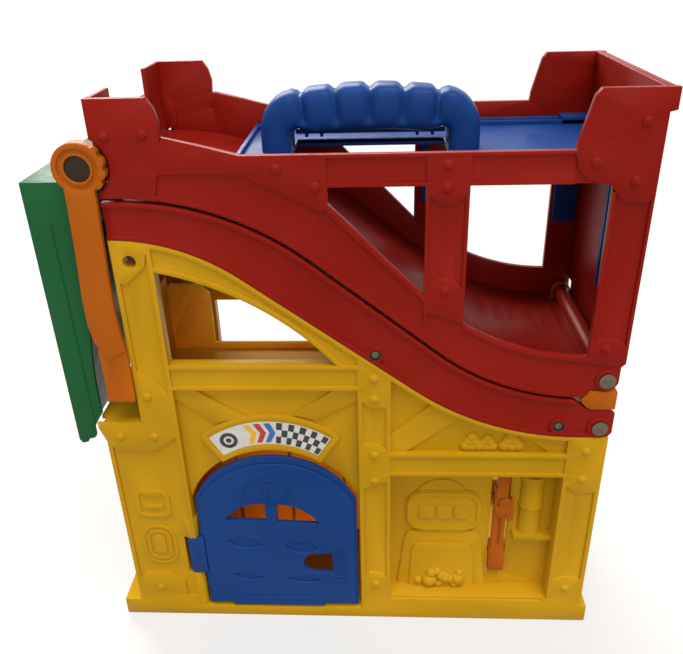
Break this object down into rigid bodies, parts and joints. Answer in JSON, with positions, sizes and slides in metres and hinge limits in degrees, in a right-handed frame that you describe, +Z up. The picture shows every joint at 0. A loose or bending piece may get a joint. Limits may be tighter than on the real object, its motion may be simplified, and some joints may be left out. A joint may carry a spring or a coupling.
{
  "type": "toy playhouse",
  "caption": "Folding toy garage with a curved two-part road, a folding top section with carrying handle, an arched door, an exit chute and a pump bay.",
  "frame": {"origin": "middle of the base's footprint, on the floor", "axes": "+X to the right along the front, +Y towards the back, +Z up"},
  "size_m": [0.373, 0.158, 0.402],
  "materials": {
    "yellow_plastic": "gloss",
    "red_plastic": "gloss",
    "orange_plastic": "gloss",
    "blue_plastic": "gloss",
    "green_plastic": "gloss",
    "steel": "satin",
    "dark_grey_plastic": "matte"
  },
  "bodies": {
    "base": {"front_facade": "yellow_plastic", "back_facade": "yellow_plastic", "garage_floor": "orange_plastic", "upper_floor": "orange_plastic", "inner_wall": "orange_plastic", "lower_track": "red_plastic", "hinge_pin_lower": "steel", "door_hinge_rod": "steel", "pump_axle": "steel", "track_screws": "steel", "housing_screws": "steel"},
    "link": {"hinge_link": "orange_plastic"},
    "upper_section": {"ramp_front_frame": "red_plastic", "ramp_back_frame": "red_plastic", "ramp_road": "red_plastic", "ramp_end_wall": "red_plastic", "top_plate": "blue_plastic", "carry_handle": "blue_plastic", "handle_inner": "blue_plastic", "handle_screws": "steel", "hinge_pin_upper": "steel"},
    "chute": {"exit_chute": "green_plastic"},
    "latch": {"latch_arm_front": "orange_plastic", "latch_arm_back": "orange_plastic", "latch_shaft": "dark_grey_plastic"},
    "door_leaf": {"door": "blue_plastic"},
    "lever": {"pump_lever": "orange_plastic"}
  },
  "joints": [
    {"name": "link_fold", "type": "hinge", "parent": "base", "child": "link", "pos_m": [0.169, 0, 0.183], "axis": [0, 1, 0], "range_deg": [0, 90]},
    {"name": "ramp_fold", "type": "hinge", "parent": "link", "child": "upper_section", "pos_m": [0.169, 0, 0.22], "axis": [0, 1, 0], "range_deg": [0, 90]},
    {"name": "chute_swing", "type": "hinge", "parent": "upper_section", "child": "chute", "pos_m": [-0.1495, 0, 0.364], "axis": [0, 1, 0], "range_deg": [0, 90]},
    {"name": "latch_swing", "type": "hinge", "parent": "upper_section", "child": "latch", "pos_m": [-0.1495, 0, 0.364], "axis": [0, 1, 0], "range_deg": [0, 95]},
    {"name": "door_hinge", "type": "hinge", "parent": "base", "child": "door_leaf", "pos_m": [-0.1195, -0.07, 0.0625], "axis": [0, 0, -1], "range_deg": [0, 100]},
    {"name": "pump_lever_tilt", "type": "hinge", "parent": "base", "child": "lever", "pos_m": [0.1115, -0.05, 0.051], "axis": [1, 0, 0], "range_deg": [0, 30]}
  ],
  "couplings": [
    {"joint": "ramp_fold", "follows": "link_fold", "ratio": 1}
  ]
}
